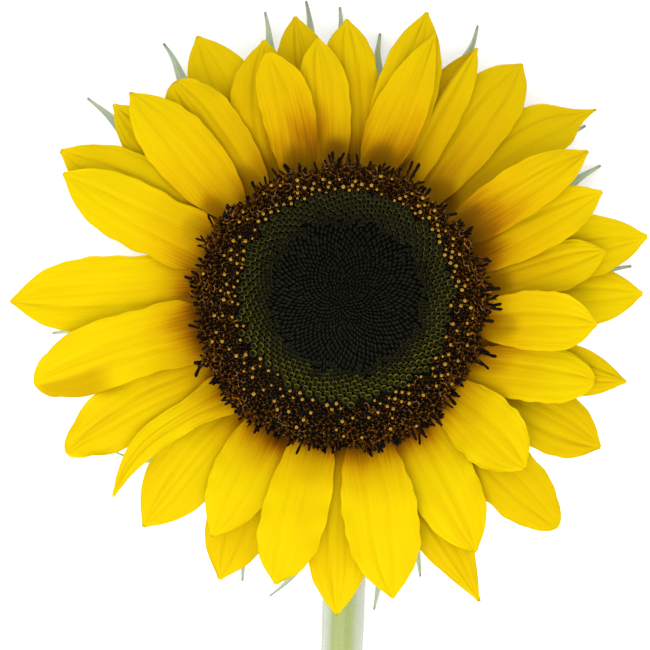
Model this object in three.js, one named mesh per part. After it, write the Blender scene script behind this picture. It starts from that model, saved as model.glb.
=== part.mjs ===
// Cut sunflower lying on a surface: the stem lies along -Y, its neck bends up under the head,
// and the face looks up, leaning a little towards +Y.
// Millimetres, +Z up. Angles are in degrees, counter-clockwise from +X round the head.
import * as THREE from "three";

// Head: one frame whose origin is the middle of the ray florets' feet.
const HEAD_HEIGHT = 38;
const HEAD_LEAN_FORWARD = 12;
const HEAD_LEAN_SIDE = 3;

// Receptacle, the thick dish that everything on the head grows from.
const RIM_RADIUS = 34.5;
const RIM_TOP = 4;
const RIM_BOTTOM = -10;
const RECEPTACLE_DEPTH = 16;
const NECK_RADIUS = 5.6;

// Disc of tubular florets, in three zones from the middle outwards.
const CENTRE_RADIUS = 21.5;
const CENTRE_EDGE_HEIGHT = 5.6;
const CENTRE_POLE_HEIGHT = 3.4;
const BUD_RING_RADIUS = 26.8;
const BUD_HEIGHT = 7;
const FLORET_OVERHANG = 3.5; // past the receptacle's rim
const FLORET_HEIGHT = 8.6;
const FLORET_SHOULDER = 2.6;
const FLORET_SHOULDER_SHARE = 0.93;
const FLORET_WAIST_SHARE = 0.55;
const FLORET_INNER_STEP = 0.6;
const FLORET_OVERHANG_CLEARANCE = 1.4;

// Ray florets.
const RAY_FOOT_WIDTH = 8;
const RAY_TIP_WIDTH = 0.8;
const RAY_THICKNESS = 0.8;
const RAY_TIP_THICKNESS = 0.3;
const RAY_TOP_LAYER = 2.4;
const RAY_LAYER_STEP = 1.6;
const RAY_LAYER_FAN = 1.1;
const RAY_ARCH_LENGTH = 45;
const RAY_ARCH_RISE = 10;
const RAY_ARCH_DROOP = 13;

// Bracts.
const BRACT_THICKNESS = 1.1;
const BRACT_TIP_WIDTH = 0.9;
const BRACT_LAYER_STEP = 2.2;
const BRACT_FOOT_DROP = 2;
const BRACT_ARCH = 3;
const BRACT_FOOT_SHARE = 0.85;
const BRACT_FULLEST = 0.22;
const BRACT_TAPER = 1.1;

// Stem.
const STEM_LENGTH_LAID = 205;
const STEM_CUT_RADIUS = 6.3;
const STEM_SIDE_SHIFT = 0.8;
const STEM_BOW = 3.5;
const NECK_REACH = 26;
const STEM_SIDES = 14;

const CLEARANCE = 0.35;
const LATHE_SEGMENTS = 40;

const PETAL_YELLOW = 0xf2c600;
const SHADED_YELLOW = 0xd9a900;
const BRACT_GREEN = 0x8b9c6c;
const STEM_GREEN = 0xa9b77c;
const BACK_GREEN = 0x7f9158;
const CENTRE_DARK = 0x15190f;
const BUD_OLIVE = 0x5c5f1e;
const FLORET_BROWN = 0x3a2010;

// foot and tip are angles, reach is the tip's distance from the head's middle seen from above, sway
// bends the midline counter-clockwise, fullest is where the blade is widest, blunt rounds the tip,
// and layer 0 is on top.
const RAYS = [
  { foot: 2, tip: 1.5, reach: 76.5, width: 17, sway: 0, fullest: 0.45, blunt: 3, layer: 4 },
  { foot: 6.5, tip: 10.8, reach: 68, width: 13, sway: -0.5, fullest: 0.5, blunt: 3, layer: 2 },
  { foot: 15, tip: 12, reach: 79, width: 17, sway: 0, fullest: 0.45, blunt: 3, layer: 3 },
  { foot: 18.5, tip: 22.8, reach: 71.5, width: 14, sway: 0, fullest: 0.45, blunt: 2.8, layer: 1 },
  { foot: 24, tip: 27.5, reach: 62, width: 12, sway: 0, fullest: 0.4, blunt: 2.6, layer: 4 },
  { foot: 30.5, tip: 31.3, reach: 73, width: 13, sway: 0.3, fullest: 0.4, blunt: 3, layer: 0 },
  { foot: 43.5, tip: 37, reach: 81, width: 16, sway: 3.2, fullest: 0.52, blunt: 2.4, layer: 4 },
  { foot: 53, tip: 52.7, reach: 76.5, width: 17, sway: 0.4, fullest: 0.5, blunt: 3.4, layer: 3 },
  { foot: 64, tip: 61.8, reach: 73.5, width: 12.5, sway: 0.6, fullest: 0.4, blunt: 2.8, layer: 2 },
  { foot: 74, tip: 73.4, reach: 77, width: 15.5, sway: -0.9, fullest: 0.45, blunt: 2.5, layer: 1 },
  { foot: 75.5, tip: 70.6, reach: 72, width: 13.6, sway: 0, fullest: 0.32, blunt: 1.9, layer: 0 },
  { foot: 84.5, tip: 88.8, reach: 71.8, width: 14, sway: 0, fullest: 0.5, blunt: 3.2, layer: 2 },
  { foot: 95.5, tip: 95, reach: 67, width: 13, sway: -0.4, fullest: 0.42, blunt: 3.2, layer: 1 },
  { foot: 99, tip: 99, reach: 73.8, width: 15, sway: 0, fullest: 0.5, blunt: 2.7, layer: 3 },
  { foot: 108, tip: 106.2, reach: 65.5, width: 13.5, sway: -1, fullest: 0.5, blunt: 3, layer: 0 },
  { foot: 118, tip: 106.3, reach: 69, width: 15, sway: 1.2, fullest: 0.45, blunt: 2.8, layer: 2 },
  { foot: 121, tip: 118.3, reach: 77, width: 17, sway: 0, fullest: 0.5, blunt: 3, layer: 3 },
  { foot: 128, tip: 127.2, reach: 69.4, width: 16, sway: 0, fullest: 0.5, blunt: 4, layer: 1 },
  { foot: 140, tip: 135.2, reach: 74.6, width: 16.5, sway: 0, fullest: 0.42, blunt: 3, layer: 0 },
  { foot: 143, tip: 139, reach: 76, width: 14, sway: 0.8, fullest: 0.5, blunt: 2.8, layer: 2 },
  { foot: 152, tip: 151.7, reach: 80, width: 17, sway: 0, fullest: 0.5, blunt: 2.8, layer: 1 },
  { foot: 159.5, tip: 155.2, reach: 76.5, width: 16.5, sway: 1.4, fullest: 0.45, blunt: 2.9, layer: 0 },
  { foot: 175.5, tip: 179.5, reach: 82.5, width: 19, sway: 0.4, fullest: 0.5, blunt: 3, layer: 1 },
  { foot: 192.7, tip: 195, reach: 78.6, width: 17, sway: -0.8, fullest: 0.45, blunt: 4.4, layer: 0 },
  { foot: 211.5, tip: 209.3, reach: 77.6, width: 16, sway: -1.6, fullest: 0.48, blunt: 3.6, layer: 1 },
  { foot: 221, tip: 220.6, reach: 73.8, width: 7.6, sway: -1.8, fullest: 0.4, blunt: 2.4, layer: 0 },
  { foot: 228, tip: 228.7, reach: 74, width: 17.5, sway: -0.6, fullest: 0.5, blunt: 2.8, layer: 2 },
  { foot: 240.5, tip: 240.7, reach: 66, width: 16, sway: 0.3, fullest: 0.42, blunt: 2.7, layer: 1 },
  { foot: 244, tip: 246.4, reach: 75, width: 17, sway: -0.6, fullest: 0.5, blunt: 3, layer: 3 },
  { foot: 259.5, tip: 257, reach: 71.2, width: 16, sway: 0, fullest: 0.5, blunt: 3.6, layer: 0 },
  { foot: 269, tip: 269.2, reach: 77.2, width: 16, sway: 0, fullest: 0.5, blunt: 2.9, layer: 1 },
  { foot: 280.3, tip: 279.9, reach: 74, width: 18.6, sway: 0, fullest: 0.48, blunt: 3, layer: 0 },
  { foot: 290, tip: 294.8, reach: 81.8, width: 16, sway: -0.6, fullest: 0.45, blunt: 1.7, layer: 2 },
  { foot: 298.5, tip: 298.3, reach: 70.2, width: 17.2, sway: 0.3, fullest: 0.45, blunt: 3.2, layer: 1 },
  { foot: 312, tip: 314.4, reach: 78.7, width: 16.5, sway: -0.4, fullest: 0.48, blunt: 3.8, layer: 2 },
  { foot: 318.5, tip: 318.4, reach: 61.8, width: 17.4, sway: 0, fullest: 0.48, blunt: 3, layer: 0 },
  { foot: 328.5, tip: 331.3, reach: 74.4, width: 17, sway: 0, fullest: 0.5, blunt: 3.6, layer: 3 },
  { foot: 332.5, tip: 342.5, reach: 66.4, width: 14.6, sway: 0, fullest: 0.48, blunt: 3.8, layer: 1 },
  { foot: 340, tip: 344.7, reach: 74.2, width: 13.6, sway: -0.3, fullest: 0.5, blunt: 2.6, layer: 2 },
  { foot: 352, tip: 354.8, reach: 64, width: 15.4, sway: 0, fullest: 0.5, blunt: 3, layer: 0 },
];

// foot, tip and reach as for the rays; tipHeight is above the surface, so 0 rests on it.
const BRACTS = [
  { foot: 5, tip: 7.1, reach: 74.6, width: 11, layer: 0, tipHeight: 0 },
  { foot: 24, tip: 27.9, reach: 74.7, width: 13, layer: 1, tipHeight: 0 },
  { foot: 39, tip: 35.9, reach: 76.8, width: 10, layer: 0, tipHeight: 0 },
  { foot: 62, tip: 63.3, reach: 78.4, width: 12, layer: 1, tipHeight: 0 },
  { foot: 84, tip: 90, reach: 75, width: 11, layer: 0, tipHeight: 0 },
  { foot: 97, tip: 96.5, reach: 77, width: 12, layer: 1, tipHeight: 0 },
  { foot: 110, tip: 104.6, reach: 76.2, width: 11, layer: 0, tipHeight: 0 },
  { foot: 128, tip: 124.6, reach: 79.6, width: 13, layer: 1, tipHeight: 0 },
  { foot: 146, tip: 140.9, reach: 82.5, width: 13, layer: 0, tipHeight: 0 },
  { foot: 182, tip: 186, reach: 73.7, width: 12, layer: 0, tipHeight: 0 },
  { foot: 206, tip: 210.5, reach: 70.5, width: 12, layer: 1, tipHeight: 9 },
  { foot: 243, tip: 250.2, reach: 73.9, width: 11, layer: 0, tipHeight: 20 },
  { foot: 261, tip: 256.8, reach: 73.2, width: 11, layer: 1, tipHeight: 18 },
  { foot: 284, tip: 276.5, reach: 74.6, width: 11, layer: 0, tipHeight: 19 },
  { foot: 318, tip: 321, reach: 66, width: 13, layer: 1, tipHeight: 6 },
];

const RAY_STATIONS = [0, 0.1, 0.25, 0.4, 0.55, 0.7, 0.82, 0.91, 0.97, 1];
const BRACT_STATIONS = [0, 0.14, 0.3, 0.48, 0.65, 0.82, 1];

const radians = THREE.MathUtils.degToRad;

function material(name, color, roughness) {
  return new THREE.MeshStandardMaterial({ name, color, roughness, metalness: 0 });
}

const petalFront = material("petal_front", PETAL_YELLOW, 0.55);
const petalBehind = material("petal_behind", SHADED_YELLOW, 0.6);
const bractLeaf = material("bract_leaf", BRACT_GREEN, 0.7);
const stemSkin = material("stem_skin", STEM_GREEN, 0.6);
const receptacleSkin = material("receptacle_skin", BACK_GREEN, 0.7);
const discCentre = material("disc_centre", CENTRE_DARK, 0.7);
const discBuds = material("disc_buds", BUD_OLIVE, 0.7);
const discFlorets = material("disc_florets", FLORET_BROWN, 0.65);

function point(angle, radius, z) {
  return new THREE.Vector3(Math.cos(radians(angle)) * radius, Math.sin(radians(angle)) * radius, z);
}

// Rings with the same number of points, joined one to the next and closed at both ends.
function loft(rings) {
  const count = rings[0].length;
  const positions = rings.flat().flatMap((p) => [p.x, p.y, p.z]);
  const index = [];
  for (let i = 0; i + 1 < rings.length; i++) {
    for (let k = 0; k < count; k++) {
      const a = i * count + k;
      const b = i * count + ((k + 1) % count);
      index.push(a, b, a + count, b, b + count, a + count);
    }
  }
  const last = (rings.length - 1) * count;
  for (let k = 1; k + 1 < count; k++) {
    index.push(0, k + 1, k);
    index.push(last, last + k, last + k + 1);
  }
  const geometry = new THREE.BufferGeometry();
  geometry.setAttribute("position", new THREE.Float32BufferAttribute(positions, 3));
  geometry.setIndex(index);
  geometry.computeVertexNormals();
  return geometry;
}

function named(name, geometry, meshMaterial) {
  const mesh = new THREE.Mesh(geometry, meshMaterial);
  mesh.name = name;
  return mesh;
}

// A lathe turned so that its axis is +Z. The profile lists [radius, height] pairs.
function turned(profile) {
  const points = profile.map(([radius, height]) => new THREE.Vector2(radius, height));
  const geometry = new THREE.LatheGeometry(points, LATHE_SEGMENTS);
  geometry.rotateX(Math.PI / 2);
  return geometry;
}

// The surface of a ray floret's layer at a distance from the head's axis, in the head's frame.
function rayHeight(radius, layer) {
  const s = (radius - RIM_RADIUS) / RAY_ARCH_LENGTH;
  const arch = RAY_ARCH_RISE * s - RAY_ARCH_DROOP * s * s;
  return RAY_TOP_LAYER + arch - layer * (RAY_LAYER_STEP + RAY_LAYER_FAN * s);
}

function bladeHalfWidth(t, footWidth, width, tipWidth, fullest, blunt) {
  if (t < fullest) {
    const grown = Math.sin(((t / fullest) * Math.PI) / 2);
    return (footWidth + (width - footWidth) * grown) / 2;
  }
  const u = (t - fullest) / (1 - fullest);
  return Math.max(tipWidth, width * (1 - u ** blunt)) / 2;
}

// A blade from one plan point to another: each station is a thin lens across the midline.
function blade(stations, from, to, sway, halfWidth, height, thickness) {
  const along = new THREE.Vector3().subVectors(to, from).setZ(0);
  const across = new THREE.Vector3(-along.y, along.x, 0).normalize();
  const rings = stations.map((t) => {
    const middle = from.clone().addScaledVector(along, t);
    middle.addScaledVector(across, sway * Math.sin(Math.PI * t));
    const half = halfWidth(t);
    const left = middle.clone().addScaledVector(across, half);
    const right = middle.clone().addScaledVector(across, -half);
    const under = middle.clone();
    left.z = height(left, t);
    right.z = height(right, t);
    middle.z = height(middle, t) + thickness(t) / 2;
    under.z = middle.z - thickness(t);
    return [right, under, left, middle];
  });
  return loft(rings);
}

// Where a blade starts so that both corners of its straight foot clear the round rim.
function clearFoot(angle, to, footWidth) {
  const nearest = RIM_RADIUS + CLEARANCE;
  const along = to.clone().sub(point(angle, nearest, 0)).setZ(0);
  const slant = along.angleTo(point(angle, 1, 0));
  const half = footWidth / 2;
  const radius = half * Math.sin(slant) + Math.sqrt(nearest ** 2 - (half * Math.cos(slant)) ** 2);
  return point(angle, radius, 0);
}

// The point of a layer that lies under a plan point, where the plan is seen from straight above.
function underPlan(angle, radius, layer) {
  const plan = point(angle, radius, 0);
  const found = plan.clone();
  for (let i = 0; i < 5; i++) {
    found.z = rayHeight(Math.hypot(found.x, found.y), layer);
    const seen = found.clone().applyMatrix4(head.matrix);
    found.x += plan.x - seen.x;
    found.y += plan.y - seen.y;
  }
  return found.setZ(0);
}

function makeRay(ray) {
  const to = underPlan(ray.tip, ray.reach, ray.layer);
  const from = clearFoot(ray.foot, to, RAY_FOOT_WIDTH);
  const width = (t) =>
    bladeHalfWidth(t, RAY_FOOT_WIDTH, ray.width, RAY_TIP_WIDTH, ray.fullest, ray.blunt);
  const height = (p) => rayHeight(Math.hypot(p.x, p.y), ray.layer);
  const thickness = (t) => THREE.MathUtils.lerp(RAY_THICKNESS, RAY_TIP_THICKNESS, t);
  return blade(RAY_STATIONS, from, to, ray.sway, width, height, thickness);
}

// Outline of the receptacle's underside, from the neck out to the rim.
const UNDERSIDE = new THREE.CubicBezierCurve(
  new THREE.Vector2(NECK_RADIUS + 1, -RECEPTACLE_DEPTH),
  new THREE.Vector2(NECK_RADIUS + 4, -RECEPTACLE_DEPTH + 2.5),
  new THREE.Vector2(RIM_RADIUS - 3, -RECEPTACLE_DEPTH + 2),
  new THREE.Vector2(RIM_RADIUS, RIM_BOTTOM),
);

function makeReceptacle() {
  const under = UNDERSIDE.getPoints(6).map((p) => [p.x, p.y]);
  return turned([[0, -RECEPTACLE_DEPTH], ...under, [RIM_RADIUS, RIM_TOP], [0, RIM_TOP]]);
}

function makeDiscCentre() {
  const base = RIM_TOP + CLEARANCE;
  const rise = CENTRE_EDGE_HEIGHT - CENTRE_POLE_HEIGHT;
  const top = [1, 0.85, 0.6, 0.35, 0.15, 0].map((share) => [
    CENTRE_RADIUS * share,
    base + CENTRE_POLE_HEIGHT + rise * Math.sin((share * Math.PI) / 2),
  ]);
  return turned([[0, base], [CENTRE_RADIUS, base], ...top]);
}

function makeBudRing() {
  const base = RIM_TOP + CLEARANCE;
  const inner = CENTRE_RADIUS + CLEARANCE;
  const middle = (inner + BUD_RING_RADIUS) / 2;
  return turned([
    [inner, base],
    [BUD_RING_RADIUS, base],
    [BUD_RING_RADIUS, base + BUD_HEIGHT],
    [middle, base + BUD_HEIGHT],
    [inner, base + CENTRE_EDGE_HEIGHT],
    [inner, base],
  ]);
}

function makeFloretRing() {
  const base = RIM_TOP + CLEARANCE;
  const inner = BUD_RING_RADIUS + CLEARANCE;
  const outer = RIM_RADIUS + FLORET_OVERHANG;
  const overhang = rayHeight(outer, 0) + RAY_THICKNESS / 2 + FLORET_OVERHANG_CLEARANCE;
  return turned([
    [inner, base],
    [RIM_RADIUS - CLEARANCE, base],
    [outer - 1, Math.max(base, overhang)],
    [outer, base + FLORET_HEIGHT * FLORET_WAIST_SHARE],
    [outer - FLORET_SHOULDER, base + FLORET_HEIGHT * FLORET_SHOULDER_SHARE],
    [(inner + outer) / 2, base + FLORET_HEIGHT],
    [inner, base + BUD_HEIGHT + FLORET_INNER_STEP],
    [inner, base],
  ]);
}

// The head's group: leaning forward turns it about X, leaning to the side turns it about Y.
const head = new THREE.Group();
head.position.set(0, 0, HEAD_HEIGHT);
head.rotation.set(-radians(HEAD_LEAN_FORWARD), radians(HEAD_LEAN_SIDE), 0);
head.updateMatrix();
head.add(named("receptacle", makeReceptacle(), receptacleSkin));
head.add(named("disc_centre", makeDiscCentre(), discCentre));
head.add(named("disc_bud_ring", makeBudRing(), discBuds));
head.add(named("disc_floret_ring", makeFloretRing(), discFlorets));
RAYS.forEach((ray, i) => {
  const name = "ray_" + String(i + 1).padStart(2, "0");
  head.add(named(name, makeRay(ray), ray.layer < 2 ? petalFront : petalBehind));
});

// A bract leaves the receptacle's rim and hangs down and out to its tip.
function makeBract(bract) {
  const tip = point(bract.tip, bract.reach, bract.tipHeight + BRACT_THICKNESS / 2);
  const footWidth = bract.width * BRACT_FOOT_SHARE;
  const foot = clearFoot(bract.foot, tip, footWidth);
  foot.z = RIM_BOTTOM + BRACT_FOOT_DROP - bract.layer * BRACT_LAYER_STEP;
  foot.applyMatrix4(head.matrix);
  const width = (t) => bladeHalfWidth(t, footWidth, bract.width, BRACT_TIP_WIDTH, BRACT_FULLEST, BRACT_TAPER);
  const height = (p, t) => foot.z + (tip.z - foot.z) * t + BRACT_ARCH * Math.sin(Math.PI * t);
  return blade(BRACT_STATIONS, foot, tip, 0, width, height, () => BRACT_THICKNESS);
}

const bracts = new THREE.Group();
BRACTS.forEach((bract, i) => {
  const name = "bract_" + String(i + 1).padStart(2, "0");
  bracts.add(named(name, makeBract(bract), bractLeaf));
});

// The stem lies on the surface, then its neck bends up to meet the receptacle along the head's axis.
function makeStem() {
  const neckEnd = new THREE.Vector3(0, 0, -RECEPTACLE_DEPTH - CLEARANCE).applyMatrix4(head.matrix);
  const neckAxis = new THREE.Vector3(0, 0, 1).transformDirection(head.matrix);
  const bendStart = new THREE.Vector3(STEM_SIDE_SHIFT, neckEnd.y - NECK_REACH, NECK_RADIUS);
  const cutEnd = new THREE.Vector3(STEM_SIDE_SHIFT, bendStart.y - STEM_LENGTH_LAID, STEM_CUT_RADIUS);
  const bow = new THREE.Vector3().lerpVectors(cutEnd, bendStart, 0.5).setX(STEM_SIDE_SHIFT - STEM_BOW);
  const laid = new THREE.QuadraticBezierCurve3(cutEnd, bow, bendStart);
  const handle = 0.6 * Math.min(NECK_REACH, neckEnd.z);
  const bend = new THREE.CubicBezierCurve3(
    bendStart,
    bendStart.clone().addScaledVector(laid.getTangent(1), handle),
    neckEnd.clone().addScaledVector(neckAxis, -handle),
    neckEnd,
  );
  const side = new THREE.Vector3(1, 0, 0);
  const ring = (curve, t, radius) => {
    const centre = curve.getPoint(t);
    const up = new THREE.Vector3().crossVectors(side, curve.getTangent(t)).normalize();
    const across = new THREE.Vector3().crossVectors(curve.getTangent(t), up).normalize();
    return Array.from({ length: STEM_SIDES }, (_, k) => {
      const turn = (2 * Math.PI * k) / STEM_SIDES - Math.PI / 2;
      const p = centre.clone().addScaledVector(across, radius * Math.cos(turn));
      return p.addScaledVector(up, radius * Math.sin(turn));
    });
  };
  const rings = [];
  const laidSteps = 8;
  for (let i = 0; i < laidSteps; i++) {
    const t = i / laidSteps;
    rings.push(ring(laid, t, THREE.MathUtils.lerp(STEM_CUT_RADIUS, NECK_RADIUS, t)));
  }
  const bendSteps = 9;
  for (let i = 0; i <= bendSteps; i++) {
    rings.push(ring(bend, i / bendSteps, NECK_RADIUS));
  }
  return loft(rings.map((points) => points.reverse()));
}

const group = new THREE.Group();
group.add(head, bracts, named("stem", makeStem(), stemSkin));

// The origin is the middle of the outline's foot on the surface.
group.updateMatrixWorld(true);
const box = new THREE.Box3().setFromObject(group, true);
const boxMiddle = box.getCenter(new THREE.Vector3());
group.position.set(-boxMiddle.x, -boxMiddle.y, -box.min.z);

export default group;
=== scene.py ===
import math

import bpy
import numpy as np
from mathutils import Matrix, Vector


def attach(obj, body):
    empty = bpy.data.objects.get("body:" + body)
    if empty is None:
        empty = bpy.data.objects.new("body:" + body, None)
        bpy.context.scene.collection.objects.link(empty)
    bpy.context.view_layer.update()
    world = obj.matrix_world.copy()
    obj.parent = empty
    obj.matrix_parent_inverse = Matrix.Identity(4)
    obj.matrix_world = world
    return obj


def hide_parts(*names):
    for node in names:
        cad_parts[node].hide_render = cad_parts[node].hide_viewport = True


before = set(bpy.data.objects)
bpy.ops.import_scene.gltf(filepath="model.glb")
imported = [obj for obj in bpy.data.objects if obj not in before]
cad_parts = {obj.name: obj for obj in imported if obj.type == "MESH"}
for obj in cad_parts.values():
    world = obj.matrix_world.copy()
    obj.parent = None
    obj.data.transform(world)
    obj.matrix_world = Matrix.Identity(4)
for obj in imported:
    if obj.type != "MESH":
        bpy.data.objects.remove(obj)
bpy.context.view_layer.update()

# A cut sunflower lying on a surface, seen from straight above. Lengths are in millimetres, and go
# through MM where they reach Blender, which works in metres.

MM = 0.001
SEED = 20
RIM_TOP = 4.0
LOWEST = 0.05  # what lies on the floor keeps this height above it

# ---- small helpers


def rng_for(*key):
    """A random generator that depends only on the key, so pieces don't disturb each other."""
    return np.random.default_rng([SEED, *key])


def smooth(x, low, high):
    t = np.clip((x - low) / (high - low), 0, 1)
    return t * t * (3 - 2 * t)


def bump_at(x, middle, width):
    return np.exp(-(((x - middle) / width) ** 2))


def curve_through(xs, ys, x):
    """A smooth curve through points that doesn't overshoot between them."""
    xs, ys, x = (np.asarray(a, float) for a in (xs, ys, x))
    step = np.diff(xs)
    slope = np.diff(ys) / step
    tangent = np.zeros_like(ys)
    tangent[0], tangent[-1] = slope[0], slope[-1]
    same = slope[:-1] * slope[1:] > 0
    mean = 2 * slope[:-1] * slope[1:] / np.where(same, slope[:-1] + slope[1:], 1)
    tangent[1:-1] = np.where(same, mean, 0)
    i = np.clip(np.searchsorted(xs, x) - 1, 0, len(step) - 1)
    t = (x - xs[i]) / step[i]
    a = (1 + 2 * t) * (1 - t) ** 2 * ys[i] + t * (1 - t) ** 2 * step[i] * tangent[i]
    b = t * t * (3 - 2 * t) * ys[i + 1] + t * t * (t - 1) * step[i] * tangent[i + 1]
    return a + b


def waves(x, y, rng, count=4, low=0.5, high=2.0):
    """Soft irregular waves over a plane, about -1 to 1."""
    total = np.zeros(np.broadcast(x, y).shape)
    for _ in range(count):
        kx, ky = rng.uniform(low, high, 2) * rng.choice([-1, 1], 2)
        total = total + np.sin(2 * math.pi * (kx * x + ky * y + rng.random()))
    return total / count ** 0.5 / 1.2


def make_mesh(name, points, faces, material, attributes=None):
    """A mesh object from points in millimetres in the row frame."""
    mesh = bpy.data.meshes.new(name)
    points = np.asarray(points, float).reshape(-1, 3) * MM
    faces = np.asarray(faces, np.int32)
    corners = faces.shape[1]
    mesh.vertices.add(len(points))
    mesh.vertices.foreach_set("co", points.ravel())
    mesh.loops.add(faces.size)
    mesh.loops.foreach_set("vertex_index", faces.ravel())
    mesh.polygons.add(len(faces))
    mesh.polygons.foreach_set("loop_start", np.arange(0, faces.size, corners, dtype=np.int32))
    mesh.update(calc_edges=True)
    mesh.validate()
    mesh.polygons.foreach_set("use_smooth", np.full(len(mesh.polygons), True))
    for key, values in (attributes or {}).items():
        values = np.asarray(values, np.float32)
        kind = "FLOAT" if values.ndim == 1 else "FLOAT_VECTOR"
        layer = mesh.attributes.new(key, kind, "POINT")
        layer.data.foreach_set("value" if values.ndim == 1 else "vector", values.ravel())
    mesh.materials.append(material)
    piece = bpy.data.objects.new(name, mesh)
    bpy.context.scene.collection.objects.link(piece)
    return piece


def keep(piece, slot, *nodes):
    """Every piece rides on the only body, and may stand for CAD nodes; slot is not used."""
    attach(piece, "root")
    if nodes:
        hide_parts(*nodes)


def grid_faces(rows, columns, wrap=False):
    """Quads of a grid of points, rows first; wrap joins the last column to the first."""
    r, c = np.meshgrid(np.arange(rows - 1), np.arange(columns - (0 if wrap else 1)), indexing="ij")
    n = (c + 1) % columns
    quads = [r * columns + c, r * columns + n, (r + 1) * columns + n, (r + 1) * columns + c]
    return np.stack(quads, -1).reshape(-1, 4)


def leaf_shell(top, bottom):
    """Points and faces of a thin closed blade from two grids that share a plan."""
    rows, columns = top.shape[:2]
    points = np.concatenate([top.reshape(-1, 3), bottom.reshape(-1, 3)])
    upper = grid_faces(rows, columns)
    lower = upper[:, ::-1] + rows * columns
    index = np.arange(rows * columns).reshape(rows, columns)
    rim = np.concatenate([index[0, :-1], index[:-1, -1], index[-1, :0:-1], index[:0:-1, 0]])
    ahead = np.roll(rim, -1)
    side = np.stack([ahead, rim, rim + rows * columns, ahead + rows * columns], -1)
    return points, np.concatenate([upper, lower, side])


def both_sides(grid):
    """A grid's values for the points of a leaf_shell, which hold the grid twice."""
    flat = grid.reshape(-1, *grid.shape[2:])
    return np.concatenate([flat, flat])


# ---- places, read from the frame


def node_points(node):
    """The node's corners in millimetres, each once."""
    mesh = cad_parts[node].data
    points = np.zeros(len(mesh.vertices) * 3)
    mesh.vertices.foreach_get("co", points)
    return np.unique(np.round(points.reshape(-1, 3) / MM, 3), axis=0)


def find_head():
    """The head's frame: origin in the middle of the rays' feet, +Z out of the face, and its turn."""
    ring = node_points("disc_floret_ring")
    centre = ring.mean(0)
    axis = np.linalg.svd(ring - centre)[2][2]
    axis = axis * np.sign(axis[2])
    across = np.array([1.0, 0, 0]) - axis[0] * axis
    across /= np.linalg.norm(across)
    turn = np.stack([across, np.cross(axis, across), axis])
    receptacle = (node_points("receptacle") - centre) @ turn.T
    return centre + axis * (receptacle[:, 2].max() - RIM_TOP), turn


HEAD_ORIGIN, HEAD_TURN = find_head()


def to_head(points):
    return (np.asarray(points) - HEAD_ORIGIN) @ HEAD_TURN.T


def from_head(points):
    return np.asarray(points) @ HEAD_TURN + HEAD_ORIGIN


def outline_of(node):
    """(radius, height) of a turned node's rings in the head's frame."""
    local = to_head(node_points(node))
    pairs = np.stack([np.hypot(local[:, 0], local[:, 1]), local[:, 2]], -1)
    return np.unique(np.round(pairs, 1), axis=0)


def disc_profile():
    """Height of the disc's top against radius, through all three zones."""
    radii, heights = [], []
    for node in ("disc_centre", "disc_bud_ring", "disc_floret_ring"):
        pairs = outline_of(node)
        upper = pairs[pairs[:, 1] > (pairs[:, 1].min() + pairs[:, 1].max()) / 2]
        radii.extend(upper[:, 0])
        heights.extend(upper[:, 1])
    return np.array(radii), np.array(heights)


PROFILE_RADII, PROFILE_HEIGHTS = disc_profile()
CENTRE_RADIUS = outline_of("disc_centre")[:, 0].max()
BUD_RADIUS = outline_of("disc_bud_ring")[:, 0].max()
DISC_EDGE = outline_of("disc_floret_ring")[:, 0].max() - 1.9
DISC_SHIFT = np.array([-0.6, -3.0, 0.0])
RIM_RADIUS = outline_of("receptacle")[:, 0].max()
RIM_BOTTOM = min(z for r, z in outline_of("receptacle") if r > RIM_RADIUS - 0.2)


def disc_top(radius):
    return np.interp(radius, PROFILE_RADII, PROFILE_HEIGHTS)


POINTS_PER_ROW = 4  # left, right, and the middle above and below


class Blade:
    """A CAD blade read back from foot to tip: distance along, midline, half width and height."""

    def __init__(self, points):
        order = np.argsort(np.hypot(points[:, 0], points[:, 1]))
        foot = points[order[:4]].mean(0)
        tip = points[order[-4:]].mean(0)
        along = (tip - foot)[:2]
        self.length = np.linalg.norm(along)
        self.along = along / self.length
        self.across = np.array([-self.along[1], self.along[0]])
        self.foot = foot
        s = (points[:, :2] - foot[:2]) @ self.along
        c = (points[:, :2] - foot[:2]) @ self.across
        order = np.argsort(s)
        rows = []
        for g in order.reshape(-1, POINTS_PER_ROW):
            left, right = g[np.argmax(c[g])], g[np.argmin(c[g])]
            middle = [i for i in g if i not in (left, right)]
            midline, half = (c[left] + c[right]) / 2, (c[left] - c[right]) / 2
            rows.append([s[g].mean(), midline, half, points[middle, 2].mean()])
        self.rows = np.array(rows)
        self.span = self.rows[-1, 0]

    def at(self, t, column):
        return curve_through(self.rows[:, 0] / self.span, self.rows[:, column], np.clip(t, 0, 1))


# ---- materials


LIGHT_LEVEL = 1.19  # the studio is this much brighter than full white, so that the floor stays white


def surface(colour):
    """A colour as it should look, made dark enough for the studio's light."""
    return [c / LIGHT_LEVEL for c in colour] + [1.0]


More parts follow.
